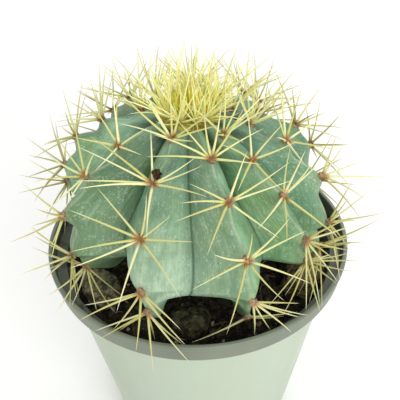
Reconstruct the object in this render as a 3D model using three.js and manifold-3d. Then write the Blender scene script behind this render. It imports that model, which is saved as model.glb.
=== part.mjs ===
// A blue barrel cactus in a round nursery pot.
// Millimetres, +Z up. The origin is the middle of the pot's flat base.
// An azimuth is in degrees from -Y towards +X. A latitude is in degrees above the stem's widest level.
import * as THREE from "three";
import { mergeVertices } from "three/addons/utils/BufferGeometryUtils.js";
import Module from "manifold-3d";

const wasm = await Module();
wasm.setup();

// Pot
const potHeight = 105;
const rimRadius = 65;
const rimDepth = 9;
const rimLip = 1.8;
const rimRounding = 0.5;
const wallTopRadius = 59.3;
const potBaseRadius = 44;
const wallThickness = 1.6;
const floorThickness = 2;
const drainHoleRadius = 4.5;
const drainHoleRing = 31;
const drainHoleCount = 6;
const potSides = 44;

// Potting mix
const soilLevel = potHeight - 14;
const soilSides = 30;
const soilRings = [52, 45, 37, 28];
const soilShoulder = 2;
const seatGap = 0.3;
const soilWaves = { high: 0.9, wide: 7, fineHigh: 0.6, fineWide: 3.5 };

// Stem
const stemRadius = 60;
const stemRise = 38.5;
const stemMiddleX = -1;
const stemMiddleZ = potHeight + 20;
const lowerPower = 0.85;
const crestSoftness = 0.06;
const furrowTurn = { low: 4, high: 42 };
const girthTurn = { low: 5, high: 28 };
const bendTurn = { low: -30, high: 20 };
const leg = { width: 0.2, power: 1.4, from: 16, to: 42 };
const dip = { power: 0.75, across: 0.42, low: -30, high: 0 };
const furrowFade = 72;
const lowestLatitude = -66;
const neckRadius = 15;
const neckTop = soilLevel - 6;
const neckFoot = soilLevel - 16;
const highestLatitude = 90;
const stemRings = 24;
const stemPlaces = [0, 0.06, 0.17, 0.33, 0.5, 0.67, 0.83, 0.94];

// Ribs, in order round the stem. Lean is how far a crest turns for each degree of latitude, and drop is
// how far it hangs below the widest level. Girth is its share of the stem's radius, above and below that
// level. Then follow four values of the next furrow, its radius as a share of the crests', above and
// below, its own drop and how many degrees it bends low down. Dip is how deep the crest dips between
// areoles, whose latitudes run from the crown down.
const ribs = [
  makeRib(-18, -0.06, 36, [1, 1], [0.72, 0.93, 15, -5], 4, [73, 52, 29, 2, -12]),
  makeRib(19, -0.06, 40, [1, 1], [0.46, 0.8, 11, 0], 4, [63, 44, 18, -6, -28]),
  makeRib(44.5, -0.06, 8, [1, 0.97], [0.62, 0.78, 9, 0], 4, [72, 57, 38, 13, -8]),
  makeRib(64, 0.2, 25, [1, 0.95], [0.52, 0.74, 21, 0], 4, [67, 52, 30, 3, -14]),
  makeRib(109, -0.06, 35, [0.95, 0.9], [0.5, 0.74, 25, 0], 1, [73, 60, 38, 18, -8]),
  makeRib(146, -0.06, 38, [1, 1], [0.52, 0.74, 27, 0], 2, [70, 50, 30, 8, -14]),
  makeRib(182, -0.06, 36, [1, 1], [0.5, 0.74, 26, 0], 3, [74, 55, 34, 12, -10]),
  makeRib(221, -0.06, 30, [1.04, 1], [0.52, 0.74, 16, 0], 1.5, [68, 47, 26, 4, -18]),
  makeRib(253, -0.06, 11, [1, 0.98], [0.5, 0.74, 10, 0], 4, [70, 50, 31, 8, -10]),
  makeRib(302, -0.06, 26, [1, 0.94], [0.44, 0.74, 12, 2], 4, [60, 42, 20, -8, -24]),
];

// Spines
const spineRadius = 0.58;
const spineLength = 22;
const spineSides = 3;
const spineRootHeight = 0.85;
const spineRootRing = 0.9;
const curlInward = 1.6;
const curlSideways = 2.4;
const padSize = { across: 2.1, along: 2.7, high: 1.7 };
const padLift = 0.3;

// What a spine keeps clear of, from its middle line: other areoles' spines, their pads' middles, the
// stem's skin, the potting mix, the lumps on it and the pot's wall. Where its first direction isn't
// clear, it turns and lifts by these steps, ring after ring, until it is.
const clearance = { spine: 1.7, pad: 4, skin: 1.2, skinAtRoot: 0.5, soil: 2.6, lump: 2, wall: 1.2, rim: 1 };
const samples = 16;
const turnStep = 6.5;
const liftStep = 4.5;
const turnRings = 5;
const lowestLift = 8;

// The fans that aren't given one by one: an even ring of spines and one that stands out. The ring of the
// two youngest areoles lifts more.
const plain = { rings: [9, 8, 7, 8, 9], turn: 18, standing: 62 };
const plainLift = { lowest: [42, 28, 18, 18, 18], spread: 16 };
const plainLength = { shortest: 0.86, spread: 0.34 };

// Fans of the areoles on the side that faces -Y, rib by rib and from the crown down. Each spine has its
// clock angle, which is 0 towards the crown and grows towards +azimuth, its lift off the surface, both
// in degrees, and its length. The other areoles get theirs from plainFan.
const fans = {
  "1.1": [[-22, 60, 25], [-34, 52, 24], [-48, 62, 22], [10, 48, 23], [-76, 40, 24], [58, 42, 24],
    [86, 30, 21], [-108, 30, 20], [122, 34, 18]],
  "1.2": [[-16, 16, 20], [-66, 22, 28], [-79, 20, 30], [-103, 14, 27], [-118, 30, 26], [62, 33, 20],
    [76, 28, 21], [103, 18, 23], [163, 14, 23]],
  "1.3": [[-75, 27, 26], [-44, 18, 22], [20, 36, 20], [42, 38, 19], [88, 20, 21], [134, 17, 25],
    [-173, 15, 25], [-118, 20, 25], [-110, 34, 24]],
  "1.4": [[-98, 20, 20], [-104, 30, 23], [-143, 12, 20], [125, 16, 18], [119, 26, 23], [180, 40, 20]],
  "1.5": [[-108, 21, 23], [-121, 26, 23], [-156, 22, 22], [-170, 30, 22], [175, 18, 20], [162, 30, 21],
    [150, 14, 21], [134, 24, 23]],
  "2.1": [[-88, 18, 24], [-70, 28, 23], [-52, 38, 20], [-15, 48, 18], [25, 36, 21], [52, 26, 22],
    [80, 22, 21], [128, 18, 18]],
  "2.2": [[36, 26, 18], [78, 26, 25], [91, 22, 23], [148, 14, 21], [-140, 16, 23], [-99, 20, 22],
    [-83, 30, 20], [-70, 38, 19]],
  "2.3": [[-57, 34, 18], [-93, 14, 22], [-142, 15, 25], [157, 22, 18], [124, 24, 23], [78, 20, 22],
    [56, 16, 20], [0, 46, 17]],
  "2.4": [[104, 16, 17], [110, 28, 20], [124, 18, 20], [-176, 10, 19], [157, 14, 20], [140, 34, 19]],
  "2.5": [[-102, 18, 23], [-160, 16, 19], [-172, 26, 20], [173, 60, 23], [118, 20, 20], [93, 15, 20]],
  "3.2": [[-68, 36, 18], [0, 46, 17], [76, 18, 20], [118, 30, 17], [-107, 17, 20], [-165, 21, 20]],
  "3.3": [[28, 40, 17], [42, 48, 18], [64, 44, 17], [84, 42, 18], [168, 17, 23], [-124, 18, 20],
    [-100, 10, 21]],
  "3.4": [[-146, 15, 25], [-157, 24, 23], [150, 13, 19], [170, 28, 20], [134, 20, 20], [94, 26, 20],
    [66, 42, 20]],
  "4.2": [[-5, 52, 26], [12, 46, 25], [-25, 44, 24], [30, 40, 22], [75, 32, 24], [115, 22, 22],
    [-80, 30, 22], [-120, 20, 20], [170, 22, 20]],
  "4.3": [[136, 38, 27], [160, 20, 20], [-163, 20, 22], [108, 30, 20], [72, 30, 18], [48, 34, 18]],
  "9.2": [[-12, 55, 25], [8, 48, 26], [26, 58, 22], [-60, 40, 22], [60, 40, 22], [-110, 25, 24],
    [110, 25, 22], [180, 20, 22], [-150, 30, 24]],
  "10.1": [[-84, 22, 20], [-48, 30, 21], [12, 66, 24], [88, 24, 28], [50, 32, 20], [140, 20, 18],
    [-130, 20, 19]],
  "10.2": [[-78, 26, 22], [-98, 20, 22], [-48, 32, 22], [137, 18, 17], [178, 12, 19], [40, 34, 20],
    [-140, 26, 20]],
  "10.3": [[-72, 25, 21], [-134, 36, 27], [-122, 18, 21], [-100, 26, 15], [-165, 18, 15], [168, 22, 16],
    [60, 30, 20]],
};

// Crown: short young spines in the middle, and round them a bundle of long ones on the top of each rib.
const woolRadius = 11;
const woolHeight = 5;
const woolSink = 1;
const young = { core: 36, bundle: 6, radius: 0.5 };
const youngRing = { core: 6.8, bundle: 9.2, latitude: 78 };
const youngRoot = { middle: 2.6, edge: 1 };
const coreLean = { edge: 22, spread: 24, turn: 120 };
const coreLength = { shortest: 5, spread: 4 };
const bundleLean = { outwards: 22, least: 6, most: 54 };
const bundleLength = { shortest: 16, spread: 10 };
const goldenAngle = 137.508;

// Lumps that lie on the potting mix: half sizes, turn, and the height of the middle above its level.
const lumps = [
  { name: "soil_lump_front", azimuth: -5, out: 43.5, size: [8.5, 7.5, 6.5], turn: 15, lift: 3, seed: 3 },
  { name: "soil_lump_left", azimuth: -61, out: 47.5, size: [11, 7.5, 6], turn: -61, lift: 3, seed: 5 },
  { name: "bark_chip", azimuth: 66, out: 48.5, size: [10.5, 7.5, 8], turn: 66, lift: 4.5, seed: 8 },
];

const lumpDent = 0.12;

const colours = {
  pot: 0xb4c4b4,
  soil: 0x2b261b,
  stem: 0x7ba389,
  spines: 0xd9d48f,
  crown: 0xd4cd66,
  lump: 0x59543f,
  bark: 0x6b5236,
};

const radians = THREE.MathUtils.degToRad;
const mix = THREE.MathUtils.lerp;
const smooth = THREE.MathUtils.smoothstep;

function makeRib(azimuth, lean, drop, girths, [above, below, furrowDrop, bend], deep, areoles) {
  const girth = { above: girths[0], below: girths[1] };
  return { azimuth, lean, drop, girth, furrow: { above, below, drop: furrowDrop, bend }, deep, areoles };
}

// A seeded draw from 0 to 1: the fraction of a large multiple of a sine.
function draw(a, b) {
  const value = Math.sin(a * 12.9898 + b * 78.233) * 43758.5453;
  return value - Math.floor(value);
}

function solidOf(geometry) {
  const bare = geometry.clone();
  bare.deleteAttribute("normal");
  bare.deleteAttribute("uv");
  const merged = mergeVertices(bare, 1e-4);
  return new wasm.Manifold(new wasm.Mesh({
    numProp: 3,
    vertProperties: new Float32Array(merged.attributes.position.array),
    triVerts: new Uint32Array(merged.index.array),
  }));
}

function geometryOf(solid) {
  const mesh = solid.getMesh();
  const geometry = new THREE.BufferGeometry();
  geometry.setAttribute("position", new THREE.BufferAttribute(mesh.vertProperties, 3));
  geometry.setIndex(new THREE.BufferAttribute(mesh.triVerts, 1));
  geometry.computeVertexNormals();
  return geometry;
}

function named(name, geometry, colour, roughness) {
  const material = new THREE.MeshStandardMaterial({ color: colour, roughness, metalness: 0 });
  const mesh = new THREE.Mesh(geometry, material);
  mesh.name = name;
  return mesh;
}

// A profile of [radius, height] points turned about Z.
function turned(profile, sides) {
  const points = profile.map(([radius, height]) => new THREE.Vector2(radius, height));
  return new THREE.LatheGeometry(points, sides).rotateX(Math.PI / 2);
}

function around(azimuth, radius, height) {
  const angle = radians(azimuth);
  return new THREE.Vector3(radius * Math.sin(angle), -radius * Math.cos(angle), height);
}

// The pot: one wall that steps out to the rim band, with round drainage holes in its floor.
function makePot() {
  const bandFoot = potHeight - rimDepth;
  const slope = (wallTopRadius - potBaseRadius) / bandFoot;
  const innerTop = wallTopRadius - wallThickness;
  const innerFoot = potBaseRadius - wallThickness + slope * floorThickness;
  const shell = solidOf(turned([
    [0, 0],
    [potBaseRadius, 0],
    [wallTopRadius, bandFoot],
    [rimRadius - rimRounding, bandFoot],
    [rimRadius, potHeight - rimRounding],
    [rimRadius - rimRounding, potHeight],
    [rimRadius - rimLip, potHeight],
    [rimRadius - rimLip - rimRounding, bandFoot + wallThickness],
    [innerTop + rimRounding, bandFoot + wallThickness],
    [innerTop, bandFoot],
    [innerFoot, floorThickness],
    [0, floorThickness],
  ], potSides));
  let pot = shell;
  for (let i = 0; i < drainHoleCount; i += 1) {
    const hole = new THREE.CylinderGeometry(drainHoleRadius, drainHoleRadius, 3 * floorThickness, 12);
    const middle = around((360 * i) / drainHoleCount, drainHoleRing, floorThickness / 2);
    hole.rotateX(Math.PI / 2).translate(middle.x, middle.y, middle.z);
    pot = pot.subtract(solidOf(hole));
  }
  return pot;
}

// The radius of the pot's inside at a height.
function potInside(height) {
  const bandFoot = potHeight - rimDepth;
  if (height > bandFoot + wallThickness) {
    return rimRadius - rimLip - rimRounding;
  }
  return mix(potBaseRadius, wallTopRadius, height / bandFoot) - wallThickness;
}

// How far across a rib's flank a place is: 0 on a crest, 1 in a furrow.
function acrossFlank(place) {
  return 1 - Math.abs(2 * (place - Math.floor(place)) - 1);
}

// How far the skin has gone in there: 0 on a crest, 1 in a furrow. High up the flanks are flat and the
// crest narrow, and low down crest and furrow are round.
function furrowShare(across, above) {
  const soft = (value) => Math.hypot(value, crestSoftness) - crestSoftness;
  const round = across * across * (3 - 2 * across);
  return mix(round, soft(across) / soft(1), above);
}

// What the ribs say at a place, where 0 is the first crest, 1 the next and so on round to 10.
function ribAt(place, latitude) {
  const here = ribs[Math.floor(place) % ribs.length];
  const next = ribs[(Math.floor(place) + 1) % ribs.length];
  const share = place - Math.floor(place);
  const turn = next.azimuth < here.azimuth ? 360 : 0;
  const across = acrossFlank(place);
  const between = (read) => mix(read(here), read(next), share);
  const azimuth = between((rib) => rib.azimuth + rib.lean * latitude) + turn * share;
  const bend = here.furrow.bend * across * (1 - smooth(latitude, bendTurn.low, bendTurn.high));
  const fade = Math.max(0, (latitude - furrowFade) / (highestLatitude - furrowFade)) ** 1.5;
  const above = smooth(latitude, furrowTurn.low, furrowTurn.high);
  const furrow = mix(here.furrow.below, here.furrow.above, above);
  const deep = furrowShare(across, above) * (1 - fade);
  const upper = smooth(latitude, girthTurn.low, girthTurn.high);
  const girth = mix(between((rib) => rib.girth.below), between((rib) => rib.girth.above), upper);
  const below = between((rib) => rib.areoles.at(-1)) - latitude;
  const onLeg = Math.exp(-((across / leg.width) ** leg.power)) * (1 - smooth(below, leg.from, leg.to));
  return {
    azimuth: azimuth + bend,
    radius: stemRadius * girth * (1 - (1 - furrow) * deep),
    drop: mix(here.furrow.drop, between((rib) => rib.drop), onLeg),
  };
}

// How far the skin shrinks where a crest dips between two areoles: sin^2(pi t^0.75), for t from 0 at the
// upper one to 1 at the lower one.
function shrinkAt(place, latitude) {
  const { areoles, deep } = ribs[Math.round(place) % ribs.length];
  let dips = 0;
  for (let order = 1; order < areoles.length; order += 1) {
    const span = areoles[order - 1] - areoles[order];
    const share = THREE.MathUtils.clamp((areoles[order - 1] - latitude) / span, 0, 1);
    dips += Math.sin(Math.PI * share ** dip.power) ** 2;
  }
  const nearCrest = Math.exp(-((acrossFlank(place) / dip.across) ** 2));
  return 1 - (deep / stemRadius) * dips * nearCrest * smooth(latitude, dip.low, dip.high);
}

// A point of the stem's skin, or of a skin that lies a gap outside it.
function stemPoint(place, latitude, gap = 0, shrink = 1) {
  const rib = ribAt(place, latitude);
  const angle = radians(latitude);
  const rise = latitude > 0 ? stemRise : rib.drop;
  const up = latitude > 0 ? Math.sin(angle) : -(Math.abs(Math.sin(angle)) ** lowerPower);
  const outward = new THREE.Vector2(Math.cos(angle) * rise, Math.sin(angle) * stemRadius).setLength(gap);
  const radius = rib.radius * Math.cos(angle) * shrink + outward.x;
  const point = around(rib.azimuth, radius, stemMiddleZ + rise * up * shrink);
  return point.add(new THREE.Vector3(stemMiddleX, 0, outward.y));
}

// The stem: rings of the ribbed skin from the crown down, closed by a plain neck that stands in the mix.
function stemSolid(gap) {
  const neck = [[0, neckFoot - gap], [neckRadius - 2 + gap, neckFoot - gap], [neckRadius + gap, neckTop]];
  const places = ribs.flatMap((rib, index) => stemPlaces.map((share) => index + share));
  const latitudes = Array.from({ length: stemRings }, (_, ring) => (
    mix(lowestLatitude, highestLatitude, ring / (stemRings - 1))
  ));
  const rings = [...neck, ...latitudes.map((latitude) => [Math.cos(radians(latitude)), latitude])];
  const geometry = turned(rings, places.length);
  const position = geometry.attributes.position;
  for (let i = 0; i < position.count; i += 1) {
    const ring = i % rings.length;
    const place = places[Math.floor(i / rings.length) % places.length];
    if (ring < neck.length) {
      const point = around(ribAt(place, lowestLatitude).azimuth, neck[ring][0], neck[ring][1]);
      position.setXYZ(i, point.x + stemMiddleX, point.y, point.z);
    } else {
      const latitude = latitudes[ring - neck.length];
      const point = stemPoint(place, latitude, gap, shrinkAt(place, latitude));
      position.setXYZ(i, point.x, point.y, point.z);
    }
  }
  return solidOf(geometry);
}

// The height of the potting mix at a point: its level, with low waves and finer ones on them.
function soilTop(x, y) {
  const { high, wide, fineHigh, fineWide } = soilWaves;
  const broad = high * Math.sin(x / wide + 1) * Math.cos(y / wide);
  return soilLevel + broad + fineHigh * Math.sin(x / fineWide) * Math.sin(y / fineWide + 2);
}

function soilSolid(gap) {
  const foot = floorThickness + seatGap;
  const slope = (wallTopRadius - potBaseRadius) / (potHeight - rimDepth);
  const inside = (height) => potBaseRadius + slope * height - wallThickness - seatGap;
  const shoulder = soilLevel - soilShoulder;
  const profile = [[0, foot], [inside(foot), foot], [inside(shoulder), shoulder]];
  soilRings.forEach((radius) => profile.push([radius, soilLevel]));
  profile.push([0, soilLevel]);
  const geometry = turned(profile, soilSides);
  const position = geometry.attributes.position;
  for (let i = 0; i < position.count; i += 1) {
    if (i % profile.length > 2) {
      position.setZ(i, soilTop(position.getX(i), position.getY(i)) + gap);
    }
  }
  return solidOf(geometry);
}

// Whether a point is about a margin outside the stem. It is measured in the stem's own scale, where the
// skin is a unit circle and a usual radius is 45 mm.
function clearOfStem(point, margin) {
  const x = point.x - stemMiddleX;
  const radius = Math.hypot(x, point.y);
  const up = point.z - stemMiddleZ;
  const latitude = THREE.MathUtils.radToDeg(Math.atan2(up / stemRise, radius / stemRadius));
  const azimuth = THREE.MathUtils.radToDeg(Math.atan2(x, -point.y));
  const rib = ribAt(placeOf(azimuth, latitude), latitude);
  const level = up > 0 ? up / stemRise : (-up / rib.drop) ** (1 / lowerPower);
  return Math.hypot(radius / rib.radius, level) > 1 + margin / 45;
}

// The place round the stem of an azimuth.
function placeOf(azimuth, latitude) {
  for (let index = 0; index < ribs.length; index += 1) {
    const from = ribAt(index, latitude).azimuth;
    const to = ribAt(index + 0.999999, latitude).azimuth;
    const past = (((azimuth - from) % 360) + 360) % 360;
    if (past < to - from) {
      return index + past / (to - from);
    }
  }
  return 0;
}

function clearOfPot(point) {
  const radius = Math.hypot(point.x, point.y);
  if (radius < potInside(soilLevel) && point.z < soilLevel + clearance.soil) {
    return false;
  }
  const inside = radius < potInside(point.z) - clearance.wall;
  return inside || radius > rimRadius + clearance.rim || point.z > potHeight + clearance.rim;
}

// Where each lump's middle is.
function lumpMiddle(lump) {
  return around(lump.azimuth, lump.out, soilLevel + lump.lift);
}

function clearOfLumps(point) {
  return lumps.every((lump) => {
    const away = point.clone().sub(lumpMiddle(lump));
    away.applyAxisAngle(new THREE.Vector3(0, 0, 1), -radians(lump.turn));
    const reach = lump.size.map((size) => size + clearance.lump);
    return Math.hypot(...away.toArray().map((value, axis) => value / reach[axis])) > 1;
  });
}

// A point along a spine, whose own curve grows with the square of the way along it.
function spinePoint(spine, share) {
  return spine.root.clone()
    .addScaledVector(spine.direction, spine.length * share)
    .addScaledVector(spine.curl, share * share);
}

// The distance between a point and a straight stretch.
function distanceTo(point, from, to) {
  const way = to.clone().sub(from);
  const share = THREE.MathUtils.clamp(point.clone().sub(from).dot(way) / way.lengthSq(), 0, 1);
  return point.distanceTo(from.clone().addScaledVector(way, share));
}

const placed = [];
const pads = [];

function isClear(spine) {
  for (let i = 1; i <= samples; i += 1) {
    const point = spinePoint(spine, i / samples);
    const margin = Math.min(clearance.skinAtRoot + (clearance.skin * i) / 4, clearance.skin);
    if (!clearOfPot(point) || !clearOfLumps(point) || !clearOfStem(point, margin)) {
      return false;
    }
    if (pads.some((pad) => pad.owner !== spine.owner && pad.middle.distanceTo(point) < pad.reach)) {
      return false;
    }
    for (const other of placed) {
      if (other.owner !== spine.owner && other.middle.distanceTo(point) < other.reach) {
        const near = Math.min(
          distanceTo(point, other.points[0], other.points[1]),
          distanceTo(point, other.points[1], other.points[2]),
        );
        if (near < clearance.spine) {
          return false;
        }
      }
    }
  }
  return true;
}

// Notes a spine as two straight stretches, for the later ones to be measured against.
function keep(spine) {
  const points = [0, 0.5, 1].map((share) => spinePoint(spine, share));
  placed.push({ owner: spine.owner, points, middle: points[1], reach: spine.length / 2 + clearance.pad });
}

// The frame of an areole: its middle on the crest, outwards, towards the crown, and along the ring.
function areoleFrame(ribIndex, latitude) {
  const middle = stemPoint(ribIndex, latitude);
  const along = stemPoint(ribIndex, latitude + 1).sub(stemPoint(ribIndex, latitude - 1)).normalize();
  const level = around(ribAt(ribIndex, latitude).azimuth + 90, 1, 0);
  const out = level.clone().cross(along).normalize();
  const across = along.clone().cross(out);
  return { middle, out, along, across };
}

function spineAt(frame, owner, seed, clock, lift, length) {
  const angle = radians(clock);
  const rise = radians(lift);
  const flat = frame.along.clone().multiplyScalar(Math.cos(angle))
    .addScaledVector(frame.across, Math.sin(angle));
  const direction = flat.clone().multiplyScalar(Math.cos(rise))
    .addScaledVector(frame.out, Math.sin(rise));
  const curl = frame.out.clone().multiplyScalar(-curlInward * draw(seed, 4) * Math.cos(rise))
    .addScaledVector(flat.clone().cross(frame.out), curlSideways * (draw(seed, 5) - 0.5));
  const root = frame.middle.clone()
    .addScaledVector(frame.out, spineRootHeight)
    .addScaledVector(flat, spineRootRing * Math.cos(rise));
  return { owner, root, direction, curl, length, radius: spineRadius };
}

// A fan with no places of its own.
function plainFan(seed, order) {
  const fan = [];
  const step = 360 / plain.rings[order];
  const first = step * draw(seed, 0);
  for (let i = 0; i < plain.rings[order]; i += 1) {
    const clock = first + step * i + plain.turn * (draw(seed, i + 10) - 0.5);
    const lift = plainLift.lowest[order] + plainLift.spread * draw(seed, i + 20);
    const length = spineLength * (plainLength.shortest + plainLength.spread * draw(seed, i + 30));
    fan.push([clock, lift, length]);
  }
  fan.push([360 * draw(seed, 1), plain.standing + plainLift.spread * draw(seed, 2), spineLength]);
  return fan;
}

function directionsToTry() {
  const steps = [[0, 0]];
  for (let ring = 1; ring <= turnRings; ring += 1) {
    const count = 4 + 2 * ring;
    for (let i = 0; i < count; i += 1) {
      const angle = (2 * Math.PI * i) / count;
      steps.push([turnStep * ring * Math.sin(angle), liftStep * ring * Math.cos(angle)]);
    }
  }
  return steps;
}

const directions = directionsToTry();

function fitSpine(frame, owner, seed, [clock, lift, length]) {
  for (const [turn, raise] of directions) {
    const spine = spineAt(frame, owner, seed, clock + turn, Math.max(lift + raise, lowestLift), length);
    if (isClear(spine)) {
      return spine;
    }
  }
  return null;
}

function placeFan(ribIndex, order) {
  const latitude = ribs[ribIndex].areoles[order];
  const owner = `${ribIndex + 1}.${order + 1}`;
  const frame = areoleFrame(ribIndex, latitude);
  const seed = 10 * (ribIndex + 1) + order;
  const fan = fans[owner] || plainFan(seed, order);
  const spines = [];
  fan.forEach((values, index) => {
    const spine = fitSpine(frame, owner, seed + index / 10, values);
    if (spine) {
      keep(spine);
      spines.push(spine);
    }
  });
  return { owner, frame, spines };
}

// A thin cone from a spine's root to its tip.
function needle(spine) {
  const way = spinePoint(spine, 1).sub(spine.root);
  const cone = new THREE.ConeGeometry(spine.radius, way.length(), spineSides);
  cone.translate(0, way.length() / 2, 0);
  const turn = new THREE.Quaternion().setFromUnitVectors(new THREE.Vector3(0, 1, 0), way.normalize());
  return solidOf(cone.applyQuaternion(turn).translate(...spine.root.toArray()));
}

// An areole: a felt pad that sits on the crest, with its spines rooted in it.
function makeCluster({ frame, spines }, stemGap) {
  const pad = new THREE.SphereGeometry(1, 6, 3).scale(padSize.across, padSize.along, padSize.high);
  pad.applyMatrix4(new THREE.Matrix4().makeBasis(frame.across, frame.along, frame.out));
  const middle = frame.middle.clone().addScaledVector(frame.out, padLift);
  pad.translate(middle.x, middle.y, middle.z);
  return spines.reduce((solid, spine) => solid.add(needle(spine)), solidOf(pad).subtract(stemGap));
}

// The middle of the crown: spines set by the golden angle, leaning further out towards the edge.
function coreSpine(i) {
  const share = Math.sqrt((i + 0.5) / young.core);
  const azimuth = goldenAngle * i;
  const lean = radians(coreLean.edge * share + coreLean.spread * (draw(i, 51) - 0.5));
  const facing = azimuth + coreLean.turn * (draw(i, 52) - 0.5);
  return {
    root: around(azimuth, youngRing.core * share, mix(youngRoot.middle, youngRoot.edge, share)),
    direction: around(facing, Math.sin(lean), Math.cos(lean)),
    length: coreLength.shortest + coreLength.spread * draw(i, 53),
  };
}

// A spine of a rib's bundle, which opens about a line that leans outwards.
function bundleSpine(i) {
  const rib = ribs[i % ribs.length];
  const azimuth = rib.azimuth + rib.lean * youngRing.latitude;
  const outwards = radians(bundleLean.outwards);
  const line = around(azimuth, Math.sin(outwards), Math.cos(outwards));
  const side = around(azimuth + 90, 1, 0);
  const clock = (2 * Math.PI * (Math.floor(i / ribs.length) + draw(i, 54))) / young.bundle;
  const open = radians(mix(bundleLean.least, bundleLean.most, draw(i, 55)));
  const direction = line.clone().multiplyScalar(Math.cos(open))
    .addScaledVector(side, Math.sin(open) * Math.cos(clock))
    .addScaledVector(side.clone().cross(line), Math.sin(open) * Math.sin(clock));
  return {
    root: around(azimuth, youngRing.bundle, youngRoot.edge),
    direction,
    length: bundleLength.shortest + bundleLength.spread * draw(i, 56),
  };
}

function placeCrown() {
  const apex = new THREE.Vector3(stemMiddleX, 0, stemMiddleZ + stemRise);
  pads.push({ owner: "crown", middle: apex, reach: woolRadius + clearance.skin });
  const core = Array.from({ length: young.core }, (_, i) => coreSpine(i));
  const bundles = Array.from({ length: young.bundle * ribs.length }, (_, i) => bundleSpine(i));
  const curl = new THREE.Vector3();
  const spines = [...core, ...bundles].map(({ root, direction, length }) => (
    { owner: "crown", root: root.add(apex), direction, curl, length, radius: young.radius }
  ));
  spines.forEach(keep);
  return { apex, spines };
}

function makeCrown({ apex, spines }, stemGap) {
  const wool = new THREE.SphereGeometry(1, 10, 6).rotateX(Math.PI / 2);
  wool.scale(woolRadius, woolRadius, woolHeight).translate(apex.x, apex.y, apex.z - woolSink);
  return spines.reduce((solid, spine) => solid.add(needle(spine)), solidOf(wool).subtract(stemGap));
}

// A rough lump: a rounded form with seeded dents, seated on the potting mix.
function makeLump(lump, soilGap, stemGap) {
  const form = new THREE.IcosahedronGeometry(1, 1);
  const position = form.attributes.position;
  for (let i = 0; i < position.count; i += 1) {
    const point = new THREE.Vector3().fromBufferAttribute(position, i);
    const level = Math.sin(5 * point.x + lump.seed) * Math.cos(4 * point.y - lump.seed);
    const dent = level * Math.sin(3 * point.z + 1);
    point.multiplyScalar(1 - lumpDent * (0.6 - dent));
    position.setXYZ(i, point.x, point.y, point.z);
  }
  const middle = lumpMiddle(lump);
  form.scale(...lump.size).rotateZ(radians(lump.turn)).translate(middle.x, middle.y, middle.z);
  return solidOf(form).subtract(soilGap).subtract(stemGap);
}

const stemGap = stemSolid(seatGap + 0.05);
const soilGap = soilSolid(seatGap);
const plant = new THREE.Group();

plant.add(named("pot", geometryOf(makePot()), colours.pot, 0.45));
plant.add(named("potting_mix", geometryOf(soilSolid(0).subtract(stemGap)), colours.soil, 0.95));
plant.add(named("ribbed_stem", geometryOf(stemSolid(0)), colours.stem, 0.6));

lumps.forEach((lump) => {
  const colour = lump.name === "bark_chip" ? colours.bark : colours.lump;
  plant.add(named(lump.name, geometryOf(makeLump(lump, soilGap, stemGap)), colour, 0.95));
});

ribs.forEach((rib, index) => {
  rib.areoles.forEach((latitude, order) => {
    const middle = areoleFrame(index, latitude).middle;
    pads.push({ owner: `${index + 1}.${order + 1}`, middle, reach: clearance.pad });
  });
});
const crown = placeCrown();
plant.add(named("crown_spines_and_wool", geometryOf(makeCrown(crown, stemGap)), colours.crown, 0.8));

for (let order = 0; order < 5; order += 1) {
  ribs.forEach((rib, index) => {
    const fan = placeFan(index, order);
    const name = `spine_cluster_${fan.owner.replace(".", "_")}`;
    plant.add(named(name, geometryOf(makeCluster(fan, stemGap)), colours.spines, 0.6));
  });
}

export default plant;
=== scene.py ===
import bpy
import numpy as np
from mathutils import Matrix


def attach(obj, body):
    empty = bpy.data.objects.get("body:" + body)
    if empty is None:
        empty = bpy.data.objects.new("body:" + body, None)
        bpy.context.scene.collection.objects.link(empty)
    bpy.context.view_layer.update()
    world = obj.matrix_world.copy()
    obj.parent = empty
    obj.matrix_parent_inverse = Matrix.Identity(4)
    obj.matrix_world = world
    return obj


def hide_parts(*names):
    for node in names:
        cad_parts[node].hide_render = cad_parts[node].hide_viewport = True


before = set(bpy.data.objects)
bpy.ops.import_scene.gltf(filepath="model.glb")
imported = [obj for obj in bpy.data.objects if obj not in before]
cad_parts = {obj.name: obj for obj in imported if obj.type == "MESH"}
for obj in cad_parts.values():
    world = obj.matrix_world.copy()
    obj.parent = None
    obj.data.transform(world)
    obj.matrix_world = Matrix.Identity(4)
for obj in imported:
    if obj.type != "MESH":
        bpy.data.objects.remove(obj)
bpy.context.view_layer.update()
mm = 0.001
goldenAngle = 137.508


# Numbers and directions

def draw(a, b):
    # a seeded draw from 0 to 1: the fraction of a large multiple of a sine
    value = np.sin(a * 12.9898 + b * 78.233) * 43758.5453
    return value - np.floor(value)


def mix(low, high, share):
    return low + (high - low) * share


def smooth(low, high, value):
    # rises from 0 at low to 1 at high, level at both ends
    share = np.clip((value - low) / (high - low), 0, 1)
    return share * share * (3 - 2 * share)


def unit(vectors):
    return vectors / np.linalg.norm(vectors, axis=-1, keepdims=True)


def vectors(x, y, z):
    return np.stack(np.broadcast_arrays(x, y, z), axis=-1).astype(float)


def around(azimuth, radius, height):
    angle = np.radians(azimuth)
    return vectors(radius * np.sin(angle), -radius * np.cos(angle), height)


def lumpy(points, size, seed):
    # value noise: seeded draws at the corners of cubes of that size, blended smoothly between them
    where = points / size
    cell = np.floor(where)
    part = where - cell
    part = part * part * (3 - 2 * part)
    total = np.zeros(points.shape[:-1])
    for corner in range(8):
        step = np.array([corner & 1, corner >> 1 & 1, corner >> 2 & 1])
        share = np.prod(np.where(step, part, 1 - part), axis=-1)
        at = cell + step
        total += share * draw(at[..., 0] + 57 * at[..., 2] + seed, at[..., 1] + 0.37 * at[..., 2])
    return total


# Meshes

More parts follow.
